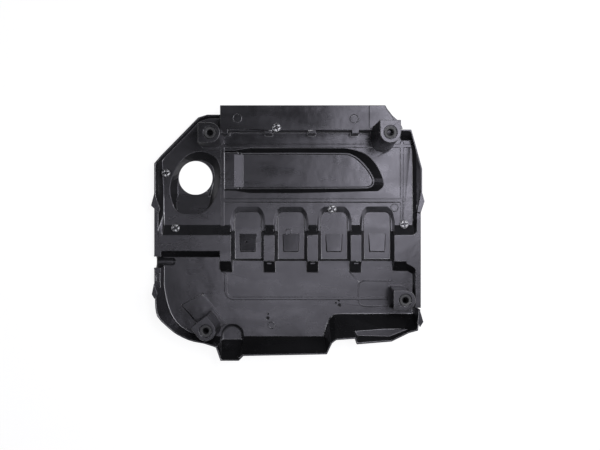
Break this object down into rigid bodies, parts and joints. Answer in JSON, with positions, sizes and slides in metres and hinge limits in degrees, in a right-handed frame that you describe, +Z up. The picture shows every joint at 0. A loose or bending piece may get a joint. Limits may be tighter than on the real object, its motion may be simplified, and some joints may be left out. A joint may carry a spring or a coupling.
{
  "type": "engine cover",
  "caption": "Moulded plastic engine cover, lying on its show face, with arched recesses, an oil filler hole and posts that hold rubber ball-socket grommets.",
  "frame": {"origin": "centre of the overall box, at its lowest face", "axes": "+Z up, out of the open underside; +X along the cover's length; +Y toward the edge with the flat flange"},
  "size_m": [0.5124, 0.4724, 0.116],
  "materials": {
    "moulded_plastic": "satin moulded black with a fine grain",
    "grommet_rubber": "smooth black rubber",
    "retainer_steel": "bright spring steel"
  },
  "bodies": {
    "root": {"cover": "moulded_plastic", "grommet_upper_left": "grommet_rubber", "grommet_upper_right": "grommet_rubber", "grommet_lower_left": "grommet_rubber", "grommet_lower_right": "grommet_rubber", "retainer_upper_left": "retainer_steel", "retainer_lower_left": "retainer_steel", "retainer_flange": "retainer_steel", "retainer_arch": "retainer_steel", "retainer_right": "retainer_steel"}
  },
  "joints": []
}
